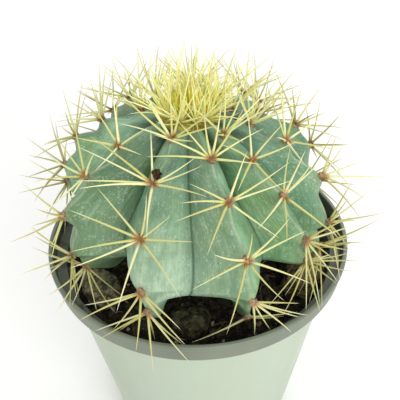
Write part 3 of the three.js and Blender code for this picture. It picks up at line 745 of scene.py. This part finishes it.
def addStem():
    step = np.arange(stem["columns"]) / stem["columns"]
    inRib = step - 0.7 * np.sin(4 * np.pi * step) / (4 * np.pi)  # closer together on crest and in furrow
    where = (np.arange(len(ribs))[:, None] + inRib).ravel()
    latitude = mix(stem["lowest"], 90.0, np.linspace(0, 1, stem["rows"]))
    grid, level = np.meshgrid(where, latitude)
    skin = stemSkin(grid, level)
    skin = stem["middle"] + (skin - stem["middle"]) * shrinkAt(grid, level)[..., None]
    outward = unit(skin - stem["middle"] * [1, 1, 0] - [0, 0, 1] * (stem["middle"] * 0.9))
    swell = lumpy(skin, 17 * mm, 4) + 0.5 * lumpy(skin, 7 * mm, 9) - 0.75
    skin = skin + outward * (swell * 0.9 * mm * smooth(90, 70, level))[..., None]
    near = np.zeros(level.shape)
    for middle, out, along, side in areoles.values():
        away = skin - middle
        up, beside = away @ along, away @ side
        close = np.exp(-(away @ out / (6 * mm)) ** 2 - (beside / (3.2 * mm)) ** 2)
        bump = stem["bump"] * close * np.exp(-((up + 2.5 * mm) / (3 * mm)) ** 2)
        skin = skin + out * bump[..., None]
        near = np.maximum(near, close * np.exp(-(up / (3.8 * mm)) ** 2))
    azimuth = np.degrees(np.arctan2(skin[0, :, 0] - stem["middle"][0], -skin[0, :, 1]))
    corners = [(0, stem["neckFoot"]), (13 * mm, stem["neckFoot"]), (stem["neckRadius"], stem["neckTop"])]
    neck = np.stack([around(azimuth, radius, height) for radius, height in corners])
    points, polygons = closedSurface(np.concatenate([neck + stem["middle"] * [1, 1, 0], skin]))

    def over(neckValue, values):
        return closedValues(np.concatenate([np.full((3, len(where)), neckValue), values]))

    # grain is the skin rolled out round a cylinder, so that streaks run along the ribs
    cylinder = around(36.0 * grid, 55 * mm, np.radians(level) * 50 * mm)
    bloomMiddle = stemSkin(np.array([0.15]), np.array([-3.0]))
    away = np.linalg.norm(skin - bloomMiddle, axis=-1)
    values = {
        # each flank's lightness: partly its own tone, partly painted light and shade
        "pale": over(1.0, byFlank(flankToneAndLight, grid)),
        "cool": over(1.0, np.clip(byFlank(flankCool, grid) + 0.5 * smooth(30, 60, level), 0, 1)),
        # how much painted shade each flank's hollow by the crown takes
        "hollowShade": over(0.0, byFlank(flankHollowShade, grid)),
        "bloom": over(0.0, 0.85 * np.exp(-(away / (24 * mm)) ** 2)),
        "grain": closedValues(np.concatenate([neck, cylinder])),
        "across": over(0.0, acrossRib(grid)),
        "rise": over(-1.0, level / 90),
        "nearAreole": over(0.0, near),
    }
    addPiece("ribbedStem", skinMaterial(), "waxy_skin", points, polygons, values, ["ribbed_stem"])


addStem()
print("stem: ribs, furrows and areole seats")


# Areoles and their spines

spines = {
    "radius": 0.49 * mm,
    "rootHeight": 0.85 * mm,
    "rootRing": 0.9 * mm,
    "shortest": 6 * mm,
    "bow": 1.4 * mm,
}

felt = {
    "across": 1.4 * mm,
    "along": 1.8 * mm,
    "high": 1.1 * mm,
    "hairs": 90,
    "hairLength": 1.1 * mm,
    "hairRadius": 0.07 * mm,
}


def areoleMaterials():
    spine = strandMaterial("paleSpine", (0.42, 0.22, 0.07), ((0.78, 0.78, 0.36), (0.55, 0.54, 0.22)),
                           (0.70, 0.69, 0.42), (0.13, 0.4), (0.45, 0.42), "age",
                           Subsurface_Weight=0.3, Subsurface_Scale=0.6 * mm)
    grainBump(spine.node_tree.nodes["Principled BSDF"], 900.0, 0.3, 0.1 * mm)
    felt = mottledMaterial("greyFelt", 0.1, (500.0,), ((0.19, 0.10, 0.05), (0.50, 0.36, 0.21)),
                           (1800.0, 0.6, 0.3 * mm))
    hair = strandMaterial("areoleHair", (0.30, 0.18, 0.08), (0.50, 0.44, 0.27), (0.62, 0.58, 0.42),
                          (0.5, 0.5), (0.2, 0.8))
    return spine, felt, hair


def cadCorners(name):
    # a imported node's corners, merged, and the pairs of them that an edge joins
    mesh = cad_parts[name].data
    points = np.empty(3 * len(mesh.vertices), np.float32)
    mesh.vertices.foreach_get("co", points)
    corners = np.empty(len(mesh.loops), np.int32)
    mesh.loops.foreach_get("vertex_index", corners)
    merged, index = np.unique(points.reshape(-1, 3), axis=0, return_inverse=True)
    triangles = index.ravel()[corners].reshape(-1, 3)
    edges = np.concatenate([triangles[:, [0, 1]], triangles[:, [1, 2]], triangles[:, [2, 0]]])
    return merged.astype(float), np.concatenate([edges, edges[:, ::-1]])


def spineTips(name, middle, shortest):
    # a tip is a corner that lies further from the areole than every corner joined to it
    points, edges = cadCorners(name)
    reach = np.linalg.norm(points - middle, axis=1)
    furthest = np.zeros(len(points))
    np.maximum.at(furthest, edges[:, 0], reach[edges[:, 1]])
    return points[(reach > furthest) & (reach > shortest)]


def clusterSpines(label, seed, age):
    middle, out = areoles[label][:2]
    tips = spineTips(f"spine_cluster_{label}", middle, spines["shortest"])
    seat = middle + out * spines["rootHeight"]
    way = unit(tips - seat)
    lift = way @ out
    flat = unit(way - out * lift[:, None])
    level = np.sqrt(1 - lift ** 2)[:, None]
    roots = seat + flat * spines["rootRing"] * level
    number = np.arange(len(tips))
    sideways = np.cross(flat, out) * (draw(seed, number)[:, None] - 0.5)
    bows = (out * 0.6 * draw(seed, number + 20)[:, None] * level + sideways) * spines["bow"]
    radii = spines["radius"] * mix(0.85, 1.1, draw(seed, number + 40))
    points, polygons, values = needles(roots, tips, bows, radii, 12, 8, 0.7, swell=0.25)
    values["age"] = np.full(len(points), age)
    return points, polygons, values


def feltPad(label, seed):
    # a flat dome with fine lumps, sunk in the skin
    middle, out, along, side = areoles[label]
    ball = ballRows(20, 11)
    rough = 0.85 + 0.35 * lumpy(ball * 3 * mm + seed * mm, 1 * mm, seed)
    ball = ball * rough[..., None]
    shape = ball[..., :1] * felt["across"] * side + ball[..., 1:2] * felt["along"] * along
    points, polygons = closedSurface(middle + shape + ball[..., 2:] * felt["high"] * out + out * 0.3 * mm)
    return points, polygons, {}


def feltHairs(label, seed):
    middle, out, along, side = areoles[label]
    number = np.arange(felt["hairs"])
    share = np.sqrt((number + 0.5) / felt["hairs"])
    angle = np.radians(goldenAngle * number)
    across, up = share * np.cos(angle), share * np.sin(angle)
    dome = np.sqrt(np.clip(1 - share ** 2, 0, 1))
    spot = across[:, None] * felt["across"] * side + up[:, None] * felt["along"] * along
    roots = middle + spot * 0.95 + (dome * felt["high"] * 0.8)[:, None] * out
    lean = unit(spot) * (0.5 * share + 0.6 * draw(seed, number))[:, None]
    sideways, onwards = draw(seed, number + 300) - 0.5, draw(seed, number + 600) - 0.5
    turn = side * sideways[:, None] + along * onwards[:, None]
    length = felt["hairLength"] * mix(0.6, 1.2, draw(seed, number + 900))
    tips = roots + unit(out + lean + 0.8 * turn) * length[:, None]
    return needles(roots, tips, turn * length[:, None] * 0.25, felt["hairRadius"], 2, 3, 0.5)


def addAreoles():
    spine, pad, hair = areoleMaterials()
    for number in range(1, len(ribs) + 1):
        seeds = {f"{number}_{order + 1}": 10 * number + order for order in range(5)}
        for label, seed in seeds.items():
            fan = clusterSpines(label, seed, (seed % 10) / 3.0)
            addPiece(f"spines_{label}", spine, "yellow_spines", *fan, [f"spine_cluster_{label}"])
        pads = joined([feltPad(label, seed) for label, seed in seeds.items()])
        addPiece(f"areoleFelt_{number}", pad, "crown_wool", *pads)
        hairs = joined([feltHairs(label, seed) for label, seed in seeds.items()])
        addPiece(f"areoleHairs_{number}", hair, "crown_wool", *hairs)


addAreoles()
print("areoles: felt, hairs and spines")


# Crown

crown = {
    "apex": stem["middle"] + [0, 0, stem["rise"]],
    "woolRadius": 11 * mm,
    "woolHeight": 5 * mm,
    "woolSink": 1 * mm,
    "core": 36,
    "thinCore": 150,
    "bundle": 6,  # for each rib, as thinBundle
    "thinBundle": 14,
    "radius": 0.5 * mm,
    "thinRadius": 0.36 * mm,
    "ring": (6.8 * mm, 9.2 * mm),  # the core's edge and the bundles' roots
    "ringLatitude": 78,
    "rise": (2.6 * mm, 1 * mm),  # of the roots, in the middle and at the ring
    "coreLean": (22, 24, 120),  # at the edge, its spread and that of its azimuth
    "coreLength": (5 * mm, 4 * mm),  # the shortest and the spread
    "bundleLean": (22, 6, 54),  # outwards, then the least and most opening
    "bundleLength": (16 * mm, 10 * mm),
    "hairs": 1500,
    "hairLean": (80, 50, 120),
    "hairRadius": 0.08 * mm,
}


def inDisc(number, count):
    # how far out, and at what azimuth, for places that fill a disc evenly
    return np.sqrt((number % count + 0.5) / count), goldenAngle * number


def leaning(number, roots, azimuth, share, leans, length, seeds, bowRise=0.0):
    # tips and bows of strands that lean outwards, each to its own side
    outer, spread, turn = leans
    lean = np.radians(outer * share + spread * (draw(number, seeds[0]) - 0.5))
    facing = azimuth + turn * (draw(number, seeds[1]) - 0.5)
    tips = roots + around(facing, np.sin(lean), np.cos(lean)) * length[:, None]
    bend = 0.8 * mm * (draw(number, seeds[2]) - 0.5)
    return tips, around(facing + 90, 1.0, bowRise) * bend[:, None]


def coreSpines(number, count, radius, longer):
    # set by the golden angle, leaning further out towards the edge
    share, azimuth = inDisc(number, count)
    roots = around(azimuth, crown["ring"][0] * share, mix(*crown["rise"], share)) + crown["apex"]
    shortest, more = crown["coreLength"]
    length = (shortest + more * draw(number, 53)) * longer
    tips, bows = leaning(number, roots, azimuth, share, crown["coreLean"], length, (51, 52, 57))
    return needles(roots, tips, bows, radius, 8, 7, 0.75)


def bundleSpines(number, count, radius, shorter):
    # a bundle on each rib's top, which opens about a line that leans outwards
    index = number % len(ribs)
    azimuth = ribValues["azimuth"][index] + ribValues["lean"][index] * crown["ringLatitude"]
    outwards, least, most = np.radians(crown["bundleLean"])
    line = around(azimuth, np.sin(outwards), np.cos(outwards))
    side = around(azimuth + 90, 1.0, 0.0)
    clock = (2 * np.pi * (number // len(ribs) + draw(number, 54)) / count)[:, None]
    opening = mix(least, most, draw(number, 55))[:, None]
    way = side * np.cos(clock) + np.cross(side, line) * np.sin(clock)
    way = line * np.cos(opening) + way * np.sin(opening)
    roots = around(azimuth, crown["ring"][1], crown["rise"][1]) + crown["apex"]
    shortest, more = crown["bundleLength"]
    length = (shortest + more * draw(number, 56)) * shorter
    bows = np.cross(way, side) * (3 * mm * (draw(number, 58) - 0.5))[:, None]
    return needles(roots, roots + way * length[:, None], bows, radius, 10, 7, 0.7)


def addYoungSpines():
    core, bundle = np.arange(crown["core"]), np.arange(crown["bundle"] * len(ribs))
    thinCore = 500 + np.arange(crown["thinCore"])
    thinBundle = 500 + np.arange(crown["thinBundle"] * len(ribs))
    shorter = 0.35 + 0.55 * draw(thinBundle, 59)
    parts = [
        coreSpines(core, crown["core"], crown["radius"], 1.0),
        coreSpines(thinCore, crown["thinCore"], crown["thinRadius"], 0.95),
        bundleSpines(bundle, crown["bundle"], crown["radius"], 1.0),
        bundleSpines(thinBundle, crown["thinBundle"], crown["thinRadius"], shorter),
    ]
    for young, (points, _, values) in zip((1.0, 1.0, 0.0, 0.0), parts):
        values["young"] = np.full(len(points), young)
    material = strandMaterial(
        "youngSpine", ((0.70, 0.55, 0.12), (0.76, 0.66, 0.03)), ((0.88, 0.86, 0.34), (0.87, 0.83, 0.08)),
        ((0.90, 0.90, 0.54), (0.89, 0.88, 0.24)), (0.3, 0.3), (0.45, 0.4), "young",
        Subsurface_Weight=0.4, Subsurface_Scale=0.6 * mm)
    addPiece("youngSpines", material, "yellow_spines", *joined(parts), ["crown_spines_and_wool"])


def addWool():
    ball = ballRows(64, 33)
    rough = 0.86 + 0.28 * lumpy(ball * 11 * mm, 2.5 * mm, 2)
    shape = ball * rough[..., None] * [crown["woolRadius"], crown["woolRadius"], crown["woolHeight"]]
    surface = closedSurface(shape + crown["apex"] - [0, 0, crown["woolSink"]])
    material = mottledMaterial("crownWool", 0.1, (260.0,), ((0.24, 0.18, 0.03), (0.62, 0.55, 0.10)),
                               (1500.0, 0.6, 0.4 * mm))
    addPiece("crownWool", material, "crown_wool", *surface)


def addWoolHairs():
    number = np.arange(crown["hairs"])
    share, azimuth = inDisc(number, crown["hairs"])
    dome = crown["woolHeight"] * np.sqrt(1 - 0.97 * share ** 2) - 1.4 * mm
    roots = around(azimuth, crown["woolRadius"] * 0.95 * share, dome) + crown["apex"]
    length = mix(1.6, 3.4, draw(number, 63)) * mm
    tips, bows = leaning(number, roots, azimuth, share, crown["hairLean"], length, (61, 62, 64), 0.3)
    hairs = needles(roots, tips, bows, crown["hairRadius"], 3, 3, 0.5)
    material = strandMaterial("woolHair", (0.52, 0.42, 0.10), (0.78, 0.72, 0.24), (0.80, 0.76, 0.42),
                              (0.5, 0.5), (0.2, 0.85))
    addPiece("crownHairs", material, "crown_wool", *hairs)


addYoungSpines()
addWool()
addWoolHairs()
print("crown: wool and young spines")


# Potting mix

soil = {
    "level": 91 * mm,
    "waves": (0.9 * mm, 7 * mm, 0.6 * mm, 3.5 * mm),  # height and length of the wide and the fine ones
    "gap": 0.3 * mm,
    "edge": (56.6 * mm, 89 * mm),
    "hole": (15.6 * mm, 13.5 * mm),  # radius round the neck's top and foot
    "crumbs": {"count": 900, "size": (0.5, 1.9, 2.5), "ring": (20, 54), "lift": 0.35, "seed": 3},
    "grit": {"count": 90, "size": (0.5, 1.3, 1), "ring": (24, 55), "lift": 0.6, "seed": 8},
    "fibres": {"count": 46, "length": (4, 9), "ring": (28, 52), "radius": 0.16 * mm},
}


def soilTop(x, y):
    high, wide, fineHigh, fineWide = soil["waves"]
    broad = high * np.sin(x / wide + 1) * np.cos(y / wide)
    return soil["level"] + broad + fineHigh * np.sin(x / fineWide) * np.sin(y / fineWide + 2)


def crumbMaterial(name, dark, light):
    material, tree, shader = materialOf(name, 0.2, 0.93)
    own, patch = times(attribute(tree, "tone"), 0.7), times(clouded(tree, 900.0, 0.4, 0.7), 0.3)
    paint(shader, mixColour(calculate(tree, "ADD", own, patch), dark, light))
    grainBump(shader, 2200.0, 0.7, 0.3 * mm)
    return material


def crumbs(places, sizes, seed):
    # copies of one faceted ball, each stretched, turned and dented by its own draws
    shape, polygons = closedSurface(ballRows(8, 7))
    count = len(places)
    number = np.arange(count)
    random = np.random.default_rng(seed)
    dents = lumpy(shape[None] * 1.3 + number[:, None, None] * 7.0, 0.8, seed)
    dented = shape[None] * (0.75 + 0.5 * dents)[..., None]
    stretch = mix(0.6, 1.35, random.random((count, 3)))
    stretch[:, 2] *= 0.75
    dented = dented * stretch[:, None]
    axes = unit(random.normal(size=(count, 3)))
    first = unit(np.cross(axes, random.normal(size=(count, 3))))
    turned = dented @ np.stack([first, np.cross(axes, first), axes], axis=1)
    points = places[:, None] + turned * sizes[:, None, None]
    tones = {"tone": np.repeat(draw(number, seed), len(shape))}
    return points.reshape(-1, 3), repeated(polygons, len(shape) * number[:, None, None]), tones


def addMix():
    radii = np.concatenate([[16.5, 17.5], np.linspace(19, 55.9, 84)]) * mm
    azimuth = 360 * np.arange(260) / 260
    flat = around(azimuth[None], radii[:, None], 0.0)
    rough = 1.6 * (lumpy(flat, 3.1 * mm, 1) - 0.5) + 1.1 * (lumpy(flat, 1.5 * mm, 5) - 0.5)
    flat[..., 2] = soilTop(flat[..., 0], flat[..., 1]) + rough * mm
    foot = pot["floor"] + soil["gap"]
    footRadius = pot["baseRadius"] + pot["slope"] * foot - pot["wall"] - soil["gap"]
    outside = [around(azimuth, *corner) for corner in ((0.0, foot), (footRadius, foot), soil["edge"])]
    (holeTop, holeFoot), holeFloor = soil["hole"], stem["neckFoot"] - 0.4 * mm
    corners = ((holeTop, stem["neckTop"]), (holeFoot, holeFloor), (0.0, holeFloor))
    hole = [around(azimuth, *corner) + stem["middle"] * [1, 1, 0] for corner in corners]
    surface = closedSurface(np.concatenate([outside, flat[::-1], hole]))
    colours = ((0.012, 0.010, 0.007), (0.055, 0.043, 0.026), (0.22, 0.19, 0.12))
    material = mottledMaterial("pottingMix", 0.2, (260.0, 0.4, 0.7), colours,
                               (1400.0, 0.8, 0.6 * mm), (900.0, 0.35, 0.53, 0.5))
    addPiece("pottingMix", material, "potting_mix", *surface, replaced=["potting_mix"])


def scattered(random, kind):
    # places evenly spread over a ring of the mix
    low, high = kind["ring"]
    distance = np.sqrt(mix(low ** 2, high ** 2, random.random(kind["count"]))) * mm
    return around(360 * random.random(kind["count"]), distance, 0.0)


def addGrains(name, material, kind, random):
    low, high, power = kind["size"]
    sizes = mix(low, high, random.random(kind["count"]) ** power) * mm
    spots = scattered(random, kind)
    spots[:, 2] = soilTop(spots[:, 0], spots[:, 1]) + sizes * kind["lift"]
    addPiece(name, material, "potting_mix", *crumbs(spots, sizes, kind["seed"]))


def addFibres(random):
    kind = soil["fibres"]
    roots = scattered(random, kind)
    facing = 360 * random.random(kind["count"])
    length = mix(*kind["length"], random.random(kind["count"])) * mm
    tips = roots + around(facing, 1.0, 0.0) * length[:, None]
    beyond = np.linalg.norm(tips[:, :2], axis=1) > 54 * mm
    tips[beyond] = 2 * roots[beyond] - tips[beyond]
    for ends in (roots, tips):
        ends[:, 2] = soilTop(ends[:, 0], ends[:, 1]) + 1.0 * mm
    bows = around(facing + 90, 1.0, 0.5) * (2.4 * mm * (random.random(kind["count"]) - 0.5))[:, None]
    bows[:, 2] = np.abs(bows[:, 2]) + 0.4 * mm
    fibres = needles(roots, tips, bows, kind["radius"], 12, 5, 0.3)
    material = strandMaterial("rootFibre", (0.10, 0.06, 0.03), (0.26, 0.19, 0.10), (0.34, 0.27, 0.16),
                              (0.14, 0.8), (0.3, 0.8))
    addPiece("rootFibres", material, "potting_mix", *fibres)


def addSoil():
    addMix()
    random = np.random.default_rng(11)
    peat = crumbMaterial("peatCrumb", (0.012, 0.009, 0.006), (0.10, 0.075, 0.045))
    addGrains("peatCrumbs", peat, soil["crumbs"], random)
    grit = crumbMaterial("paleGrit", (0.16, 0.13, 0.08), (0.42, 0.37, 0.26))
    addGrains("gritGrains", grit, soil["grit"], random)
    addFibres(random)


addSoil()
print("potting mix: waved top, crumbs, grit and fibres")


# Lumps and chip on the mix

# by CAD node: the piece, its slot, azimuth, distance out, half sizes, turn, lift, seed, squareness,
# then the material's name and its dark, light and dust colours
lumps = {
    # one earth in two copies: the front lump's colours darkened as painted shade under the stem's overhang
    "soil_lump_front": ("earthLumpFront", "lump_earth", -5, 43.5, (8.5, 7.5, 6.5), 15, 3, 3, 2, "earthInShade",
                        (0.016, 0.015, 0.007), (0.075, 0.072, 0.035), (0.15, 0.14, 0.08)),
    # the left lump's colours lightened as painted light
    "soil_lump_left": ("earthLumpLeft", "lump_earth", -61, 47.5, (11, 7.5, 6), -61, 3, 5, 2, "earthInLight",
                       (0.08, 0.07, 0.035), (0.33, 0.30, 0.18), (0.46, 0.43, 0.30)),
    "bark_chip": ("barkChip", "bark", 66, 48.5, (10.5, 7.5, 8), 66, 4.5, 8, 3.2, "pineBark",
                  (0.07, 0.05, 0.025), (0.25, 0.185, 0.095), (0.40, 0.29, 0.10)),
}


def lumpMaterial(name, *colours):
    return mottledMaterial(name, 0.15, (330.0, 0.38, 0.66), colours,
                           (1600.0, 0.8, 0.5 * mm), (1000.0, 0.4, 0.55, 0.7))


def addLump(node, piece, slot, azimuth, out, size, turn, lift, seed, squareness, *look):
    # a ball or block with value noise at three sizes, stretched to its half sizes and turned
    ball = ballRows(120, 61)
    ball = ball * np.sum(np.abs(ball) ** squareness, axis=-1, keepdims=True) ** (-1 / squareness)
    relief = 0.30 * lumpy(ball, 0.75, seed) + 0.16 * lumpy(ball, 0.3, seed + 1)
    relief = relief + 0.09 * lumpy(ball, 0.12, seed + 2)
    x, y, z = np.moveaxis(ball * (0.74 + relief)[..., None] * np.array(size) * mm, -1, 0)
    cosine, sine = np.cos(np.radians(turn)), np.sin(np.radians(turn))
    turned = vectors(x * cosine - y * sine, x * sine + y * cosine, z)
    surface = closedSurface(turned + around(azimuth, out * mm, soil["level"] + lift * mm))
    addPiece(piece, lumpMaterial(*look), slot, *surface, replaced=[node])


for node, values in lumps.items():
    addLump(node, *values)
print("lumps: two of earth and a chip of bark")


# A dried flower's remnant above one areole

def addRemnant():
    middle, out, along, side = areoles["1_2"]
    ball = ballRows(48, 25)
    column, rise = np.arctan2(ball[..., 1], ball[..., 0]), np.arcsin(ball[..., 2])
    folds = 0.75 + 0.35 * lumpy(ball, 0.5, 21) + 0.12 * np.sin(6 * column + 3 * rise)
    axes = np.stack([side, along, out])
    shape = (ball * folds[..., None] * np.array([1.7, 1.9, 2.1]) * mm) @ axes
    surface = closedSurface(middle + np.array([0.8, 3.4, 1.8]) * mm @ axes + shape)
    dry = lumpMaterial("driedFlower", (0.022, 0.014, 0.006), (0.09, 0.055, 0.02),
                       (0.20, 0.14, 0.07))
    addPiece("driedFlower", dry, "bark", *surface)


addRemnant()
print("dried flower remnant")
